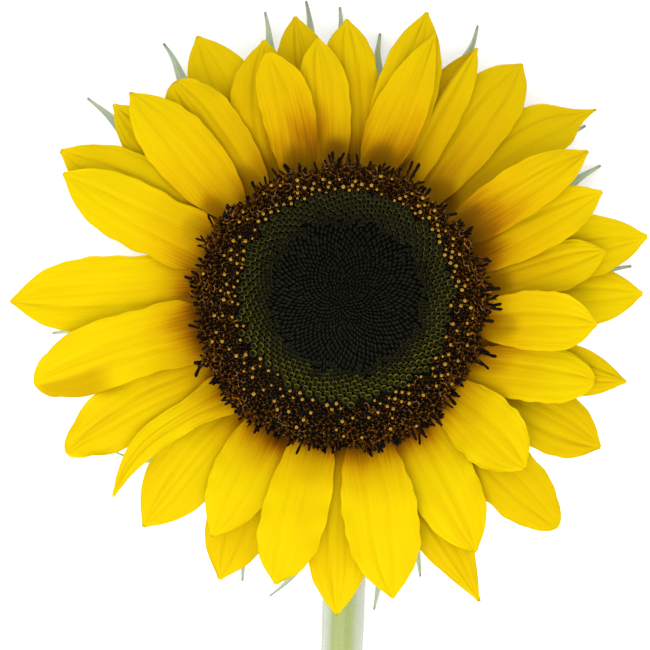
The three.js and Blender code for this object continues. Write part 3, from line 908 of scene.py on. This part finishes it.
class Gathered:
    """Many small parts, each placed on its own, kept as one mesh."""

    def __init__(self):
        self.points, self.faces, self.up, self.tone, self.count = [], [], [], [], 0

    def add(self, shape, place, axis, spin, up, tone, wrap=True):
        """A grid of points about +Z, moved to its place; up is how far up each row, or each point, is."""
        rows, columns = shape.shape[:2]
        self.points.append(placed(shape, place, axis, spin))
        self.faces.append(grid_faces(rows, columns, wrap) + self.count)
        up = np.asarray(up, float).reshape(rows, -1)
        self.up.append(np.broadcast_to(up, (rows, columns)).ravel())
        self.tone.append(np.full(rows * columns, tone))
        self.count += rows * columns

    def piece(self, name, material, slot, *nodes):
        values = {"up": np.concatenate(self.up), "tone": np.concatenate(self.tone)}
        points = from_head(np.concatenate(self.points) + DISC_SHIFT)
        keep(make_mesh(name, points, np.concatenate(self.faces), material, values), slot, *nodes)


def turned(radii, heights, sides, lobes=0, lobe_out=None, lobe_up=None, phase=0.0):
    """Rings of points about +Z; lobes pushes some rings out and up in turn."""
    angle = phase + np.arange(sides) / sides * 2 * math.pi
    wave = np.cos(lobes * (angle - phase)) if lobes else np.zeros(sides)
    r = np.asarray(radii, float)[:, None] * np.ones(sides)
    z = np.asarray(heights, float)[:, None] * np.ones(sides)
    if lobe_out is not None:
        r = r + np.asarray(lobe_out)[:, None] * wave
    if lobe_up is not None:
        z = z + np.asarray(lobe_up)[:, None] * wave
    return np.stack([r * np.cos(angle), r * np.sin(angle), z], -1)


def placed(points, at, axis, spin=0.0):
    """Points about +Z moved to stand at a place along an axis."""
    axis = np.asarray(axis, float) / np.linalg.norm(axis)
    x = np.cross([0.0, 1.0, 0.0], axis)
    x /= np.linalg.norm(x)
    y = np.cross(axis, x)
    c, s = math.cos(spin), math.sin(spin)
    basis = np.stack([c * x + s * y, c * y - s * x, axis])
    return points.reshape(-1, 3) @ basis + np.asarray(at)


# ---- disc

GOLDEN = math.pi * (3 - math.sqrt(5))
POLE_SHIFT = np.array([1.2, 2.4])
SPACING_RADII = (0, 10, 18, 22, 27, 32, 39)
SPACING = (0.80, 0.98, 1.22, 1.52, 1.80, 2.10, 2.4)
DEPTHS = (1.1, 1.3, 1.5, 2.0, 2.4, 2.8, 3.0)


def floret_places():
    """Every floret's angle and radius, in the spiral order of a sunflower."""
    places, radius, n = [], 0.45, 0
    while radius < DISC_EDGE + 1:
        gap = np.interp(radius, SPACING_RADII, SPACING)
        places.append((n * GOLDEN, radius, gap))
        radius = math.sqrt(radius * radius + 0.90 * gap * gap / math.pi)
        n += 1
    return places


def edge_radius(angle):
    """The disc's ragged edge."""
    fine = 0.5 * math.sin(13 * angle) + 0.45 * math.sin(23 * angle + 2)
    return DISC_EDGE + 0.55 * math.sin(5 * angle + 1) + fine


def off_centre(angle, radius):
    """Angle and radius of a floret's place: the youngest florets lie a little off the disc's middle."""
    share = 1 - float(smooth(radius, 24, 36))
    x = radius * math.cos(angle) + POLE_SHIFT[0] * share
    y = radius * math.sin(angle) + POLE_SHIFT[1] * share
    return math.atan2(y, x), math.hypot(x, y)


def disc_normal(angle, radius, lean):
    slope = (disc_top(radius + 0.6) - disc_top(radius - 0.6)) / 1.2
    tilt = np.array([-slope * math.cos(angle), -slope * math.sin(angle), 1.0])
    out = np.array([math.cos(angle), math.sin(angle), 0])
    return tilt / np.linalg.norm(tilt) + lean * out


def place_on_disc(angle, radius, below=0.0):
    return np.array([radius * math.cos(angle), radius * math.sin(angle), disc_top(radius) - below])


def add_centre_bud(out, angle, radius, gap, rng):
    size = gap * 0.52 * rng.uniform(0.85, 1.1)
    tall = rng.uniform(0.9, 1.5) * gap
    radii = np.array([0.95, 1.0, 0.80, 0.42, 0.03]) * size
    heights = np.array([-0.9, 0.1, 0.5, 0.85, 1.0]) * tall - tall
    shape = turned(radii, heights, 8, 2, radii * 0.25)
    axis = disc_normal(angle, radius, -0.25 - 0.35 * (radius / 22))
    axis = axis + rng.normal(0, 0.16, 3)
    place = place_on_disc(angle, radius, rng.uniform(-0.15, 0.15))
    out.add(shape, place, axis, angle, [0.25, 0.35, 0.7, 0.85, 1.0], rng.uniform(0, 1) * 0.6)


def add_bud(out, angle, radius, gap, ripe_and_lit, rng):
    """An unopened floret: a five-pointed bud bent towards the middle, with a pale lip."""
    size = gap * 0.50 * rng.uniform(0.92, 1.06)
    tall = gap * 1.1
    radii = np.array([0.74, 0.98, 1.0, 0.84, 0.62, 0.36, 0.05]) * size
    heights = np.array([-1.5, -0.4, 0.05, 0.22, 0.02, -0.10, 0.12]) * tall
    crease = radii * np.array([0.04, 0.08, 0.12, 0.14, 0.12, 0.06, 0.0])
    shape = turned(radii, heights, 15, 5, crease, phase=rng.uniform(0, 1.2))
    axis = disc_normal(angle, radius, -0.30) + rng.normal(0, 0.06, 3)
    place = place_on_disc(angle, radius, 0.35 * tall)
    inward = -(shape[..., 0] * math.cos(angle) + shape[..., 1] * math.sin(angle)) / size
    # The lip is pale; the bud is darker below it and in its middle, painted shade in the gaps between buds.
    lip = np.array([0.0, 0.15, 0.62, 1.0, 0.42, 0.08, 0.25])[:, None] * (0.75 + 0.35 * inward)
    up = np.clip(lip * (0.22 + 0.80 * ripe_and_lit), 0, 1)
    out.add(shape, place, axis, 0.0, up, rng.uniform(0, 0.5))


def add_corolla_at(out, place, gap, open_share, axis, rng):
    """An open floret's tube, flared into five pointed lobes that curl back."""
    size = gap * 0.52 * rng.uniform(0.85, 1.12)
    flare = 0.55 + 0.45 * open_share
    radii = np.array([0.50, 0.55, 0.62, 0.80 * flare + 0.1, 1.0 * flare, 0.62 * flare]) * size
    heights = [-3.2, -1.8, -0.7, -0.1, -0.1, -0.9]
    lobe_out = radii * np.array([0, 0.03, 0.10, 0.26, 0.42, 0.10])
    lobe_up = np.array([0, 0, 0.05, 0.30, 0.55 - 0.6 * open_share, 0.0])
    shape = turned(radii, heights, 20, 5, lobe_out, lobe_up, phase=rng.uniform(0, 1.25))
    # Dark low in the tube and inside its mouth, paler on the lobes: partly the floret's own colour, partly
    # painted shade deep among the florets.
    up = np.array([0.0, 0.2, 0.45, 0.8, 1.0, 0.2]) * rng.uniform(0.6, 1.0)
    out.add(shape, place, axis, 0.0, up, rng.uniform(0, 0.8))


def add_rod(out, foot, axis, length, thick, rng, sides=8, bend=0.0, flare=0.0):
    """A short rod such as an anther tube, bent a little and blunt at its end."""
    share = np.array([0.0, 0.25, 0.5, 0.72, 0.88, 0.97, 1.0])
    radii = thick / 2 * np.array([0.8, 0.92, 1.0, 1.05 + flare, 1.0 + 1.4 * flare, 0.62, 0.08])
    shape = turned(radii, share * length, sides)
    shape[..., 0] += bend * (share * share)[:, None]
    out.add(shape, foot, axis, rng.uniform(0, 6.3), share, rng.uniform(0, 0.6))


def add_curl(out, middle, axis, radius, rng):
    """A stigma's arm curled back into part of a ring."""
    sweep = rng.uniform(2.2, 4.4)
    turn = np.linspace(0, sweep, 7)
    ring = np.linspace(0, 2 * math.pi, 5)[:-1]
    thick = 0.11 * np.sin(np.linspace(0.35, 2.8, 7))[:, None]
    far = radius + thick * np.cos(ring)
    shape = np.stack([far * np.cos(turn)[:, None], far * np.sin(turn)[:, None], thick * np.sin(ring)], -1)
    axis = axis + rng.normal(0, 0.35, 3)
    out.add(shape, middle, axis, rng.uniform(0, 6.3), np.linspace(0.2, 1, 7), rng.uniform(0, 0.8))


def add_dot(out, middle, axis, size, rng, sides=9):
    """A clump of pollen on the mouth of an opening floret, with a dimple where the style comes out."""
    share = np.array([-0.9, -0.35, 0.25, 0.62, 0.78, 0.62])
    radii = size / 2 * np.array([0.5, 0.96, 1.0, 0.74, 0.38, 0.05])
    shape = turned(radii * rng.uniform(0.94, 1.06, 6), share * size / 2, sides)
    shape *= 1 + 0.07 * rng.normal(size=shape.shape[:2])[..., None]
    out.add(shape, middle, axis, rng.uniform(0, 6.3), [0, 0.4, 0.8, 1.0, 0.8, 0.3], rng.uniform(0, 0.4))


def add_scale(out, foot, axis, length, width, spin, rng):
    """A dry pointed scale that stands between two florets."""
    t = np.linspace(0, 1, 5)[:, None]
    v = np.linspace(-1, 1, 3)[None]
    half = width / 2 * np.array([0.9, 1.0, 0.75, 0.4, 0.04])[:, None]
    bowed = 0.25 * width * v * v + 0.5 * t * t
    shape = np.stack([v * half, bowed, t * length * np.ones_like(v)], -1)
    out.add(shape, foot, axis, spin, [0.1, 0.4, 0.7, 0.9, 1.0], rng.uniform(0, 0.9), wrap=False)


def add_open_floret(parts, angle, radius, gap, age, rng):
    """age runs from 0, just opening, to 1, at the rim of the disc."""
    lean = 0.05 + 0.55 * age ** 2
    axis = disc_normal(angle, radius, lean) + rng.normal(0, 0.10 + 0.08 * age, 3)
    axis /= np.linalg.norm(axis)
    below = 1.3 + rng.uniform(-0.2, 0.5)
    place = place_on_disc(angle, radius, below)
    add_corolla_at(parts["corolla"], place, gap, 0.25 + 0.75 * age, axis, rng)
    mouth = place + axis * 0.1
    if rng.random() < 0.80 - 0.88 * age:
        size = rng.uniform(0.62, 0.95)
        add_dot(parts["pollen"], mouth + axis * 0.45, axis, size, rng)
        return
    thick = rng.uniform(0.45, 0.70)
    length = rng.uniform(1.0, 2.0) + 1.4 * max(0, age - 0.5) / 0.5 * rng.uniform(0.0, 1)
    bend, flare = rng.uniform(-0.3, 0.3), rng.uniform(0, 0.15)
    add_rod(parts["anther"], mouth - axis * 0.6, axis, length, thick, rng, bend=bend, flare=flare)
    if rng.random() < 0.15 + 0.3 * age:
        add_curl(parts["stigma"], mouth + axis * rng.uniform(0.2, 0.9), axis, rng.uniform(0.45, 0.75), rng)


RIM_CLUSTERS = 58


def add_rim_rods(parts, rng):
    """Black anther tubes that lean out over the petals round the rim of the disc, in loose clusters."""
    for k in range(RIM_CLUSTERS):
        middle = (k + rng.uniform(-0.35, 0.35)) / RIM_CLUSTERS * 2 * math.pi
        reach = rng.uniform(-1.6, 1.3)
        for rod in range(rng.integers(1, 5)):
            angle = middle + rng.normal(0, 0.035)
            radius = edge_radius(angle) + reach + rng.uniform(-1.6, 0.2)
            out = np.array([math.cos(angle), math.sin(angle), 0])
            side = np.array([-out[1], out[0], 0])
            axis = out * rng.uniform(0.6, 1.2) + side * rng.normal(0, 0.35)
            axis[2] += rng.uniform(0.0, 0.7)
            foot = out * radius
            foot[2] = rng.uniform(6.5, 11.0)
            if rod == 0:
                ahead = axis / np.linalg.norm(axis)
                add_corolla_at(parts["corolla"], foot, 1.5, rng.uniform(0.2, 0.6), ahead, rng)
            length, thick = rng.uniform(2.6, 4.4), rng.uniform(0.50, 0.80)
            bend, flare = rng.uniform(-0.6, 0.6), rng.uniform(0.0, 0.22)
            add_rod(parts["anther"], foot - axis * 0.8, axis, length, thick, rng, bend=bend, flare=flare)


WALL_FLORETS = 78
# Each row's height and how far in from the disc's edge it stands.
WALL_ROWS = ((10.2, 0.1), (8.4, 0.0), (6.6, 0.3), (4.9, 0.5), (3.3, 0.8))


def add_wall_florets(parts, rng):
    """Rows of the oldest florets down the outer wall of the disc, leaning out over the petals' feet."""
    for row, (height, inset) in enumerate(WALL_ROWS):
        for k in range(WALL_FLORETS):
            angle = (k + 0.5 * (row % 2) + rng.uniform(-0.3, 0.3)) / WALL_FLORETS * 2 * math.pi
            out = np.array([math.cos(angle), math.sin(angle), 0])
            axis = out * 0.8 + np.array([0, 0, rng.uniform(0.4, 1.1)]) + rng.normal(0, 0.2, 3)
            axis /= np.linalg.norm(axis)
            foot = out * (edge_radius(angle) - inset + rng.uniform(-1.6, 0.1))
            foot[2] = height + rng.uniform(-0.5, 0.5)
            add_corolla_at(parts["corolla"], foot, 2.0, rng.uniform(0.3, 1), axis, rng)
            if rng.random() < 0.4:
                length, thick = rng.uniform(1.6, 3.0), rng.uniform(0.45, 0.7)
                add_rod(parts["anther"], foot - axis * 0.5, axis, length, thick, rng)


def make_disc_floor():
    """A dark sheet under the florets, painted shade for the deep gaps between them, so that nothing shows
    through.
    """
    radii = np.linspace(0.05, DISC_EDGE - 2.0, 60)
    turn = np.linspace(0, 2 * math.pi, 160, endpoint=False)
    r, angle = np.meshgrid(radii, turn, indexing="ij")
    z = disc_top(r) - np.interp(r, SPACING_RADII, DEPTHS)
    top = np.stack([r * np.cos(angle), r * np.sin(angle), z], -1)
    wall = top[-1:].repeat(4, 0)
    wall[:, :, 2] = np.linspace(z[-1, 0], 0.5, 4)[:, None]
    grid = np.concatenate([top, wall])
    out = Gathered()
    out.add(grid, (0, 0, 0), (0, 0, 1), 0.0, np.zeros(len(grid)), 0.3)
    out.piece("disc_floor", MATERIALS["centre"], "disc_florets")


# Each gathered piece of the disc: its name, material and slot, and the CAD node that it replaces.
DISC_PIECES = {
    "centre": ("disc_centre_buds", "centre", "disc_centre", "disc_centre"),
    "buds": ("disc_buds", "buds", "disc_buds", "disc_bud_ring"),
    "corolla": ("disc_corollas", "corolla", "disc_florets", "disc_floret_ring"),
    "anther": ("disc_anthers", "anther", "disc_florets"),
    "pollen": ("disc_pollen", "pollen", "disc_florets"),
    "stigma": ("disc_stigmas", "stigma", "disc_florets"),
    "scales": ("disc_scales", "corolla", "disc_florets"),
}


def make_disc():
    parts = {key: Gathered() for key in DISC_PIECES}
    for n, (angle, radius, gap) in enumerate(floret_places()):
        rng = rng_for(5, n)
        zone = radius + rng.normal(0, np.interp(radius, (CENTRE_RADIUS, BUD_RADIUS), (0.9, 0.4)))
        if radius > edge_radius(angle) - 0.6:
            continue
        angle, radius = off_centre(angle, radius)
        if zone < CENTRE_RADIUS - 2.5:
            add_centre_bud(parts["centre"], angle, radius, gap, rng)
        elif zone < BUD_RADIUS:
            ripe_and_lit = float(smooth(zone, CENTRE_RADIUS - 5.0, BUD_RADIUS - 2.0))
            # Painted shade: buds on the upper side, away from the light, are darker.
            ripe_and_lit = ripe_and_lit * (0.8 - 0.25 * math.sin(angle))
            add_bud(parts["buds"], angle, radius, gap, ripe_and_lit, rng)
        else:
            age = float(np.clip((zone - BUD_RADIUS) / (DISC_EDGE - BUD_RADIUS), 0, 1))
            add_open_floret(parts, angle, radius, gap, age, rng)
            foot = place_on_disc(angle + 0.5 * gap / radius, radius + 0.4 * gap, 2.6)
            axis = disc_normal(angle, radius, 0.1 + 0.4 * age) + rng.normal(0, 0.2, 3)
            if rng.random() < 0.5:
                continue
            length, width, spin = rng.uniform(1.6, 3.0), rng.uniform(0.5, 0.9), rng.uniform(0, 6.3)
            add_scale(parts["scales"], foot, axis, length, width, spin, rng)
    add_rim_rods(parts, rng_for(6))
    add_wall_florets(parts, rng_for(7))
    for key, (name, material, slot, *nodes) in DISC_PIECES.items():
        parts[key].piece(name, MATERIALS[material], slot, *nodes)


# ---- studio

VIEW_WIDTH = 162.0  # across the picture, at the rays' height
VIEW_MIDDLE = (-3.95, -5.9)  # the picture's middle from the head's
CAMERA_HEIGHT = 1000.0
SENSOR = 36.0
FLOOR_HALF = 2500.0
KEY_PLACE = (-260, -640, 1150)
KEY_TARGET = (0, 60, 30)
KEY_SIZE = 1100
KEY_POWER = 19.1
WORLD_STRENGTH = 1.59


def make_floor():
    n = Nodes("floor")
    speck = n.noise(n.position(), 30.0, detail=3.0)
    colour = n.ramp(speck, [(0.3, (1.14, 1.14, 1.14)), (0.7, (1.18, 1.18, 1.18))])
    n.finish(colour, 0.8, n.bump(speck, 0.05, 0.2), 0.2)
    grid = np.linspace(-FLOOR_HALF, FLOOR_HALF, 3)
    x, y = np.meshgrid(grid, grid, indexing="ij")
    points = np.stack([x, y, np.zeros_like(x)], -1)
    floor = make_mesh("floor", points, grid_faces(3, 3)[:, ::-1], n.material)


def add_in_scene(name, data, place):
    thing = bpy.data.objects.new(name, data)
    bpy.context.scene.collection.objects.link(thing)
    thing.location = Vector(place) * MM
    return thing


def make_key_light():
    data = bpy.data.lights.new("key", "AREA")
    data.shape = "DISK"
    data.size = KEY_SIZE * MM
    data.energy = KEY_POWER
    light = add_in_scene("key", data, KEY_PLACE)
    aim = Vector(KEY_TARGET) - Vector(KEY_PLACE)
    light.rotation_euler = aim.to_track_quat("-Z", "Y").to_euler()


def make_camera():
    data = bpy.data.cameras.new("camera")
    data.sensor_width = SENSOR
    data.lens = SENSOR * (CAMERA_HEIGHT - HEAD_ORIGIN[2]) / VIEW_WIDTH
    data.clip_end = 10
    place = (HEAD_ORIGIN[0] + VIEW_MIDDLE[0], HEAD_ORIGIN[1] + VIEW_MIDDLE[1], CAMERA_HEIGHT)
    bpy.context.scene.camera = add_in_scene("camera", data, place)


def make_studio():
    make_floor()
    make_key_light()
    world = bpy.data.worlds.new("studio")
    world.use_nodes = True
    world.node_tree.nodes["Background"].inputs["Color"].default_value = (1, 1, 1, 1)
    world.node_tree.nodes["Background"].inputs["Strength"].default_value = WORLD_STRENGTH
    bpy.context.scene.world = world
    bpy.context.scene.view_settings.view_transform = "Standard"
    make_camera()


# ---- the object

make_receptacle()
make_stem()
for number in range(1, RAY_COUNT + 1):
    make_ray(number)
for number in range(1, BRACT_COUNT + 1):
    make_bract(number)
for number, bract in enumerate(SMALL_BRACTS):
    make_small_bract(number, *bract)
make_disc_floor()
make_disc()
make_studio()
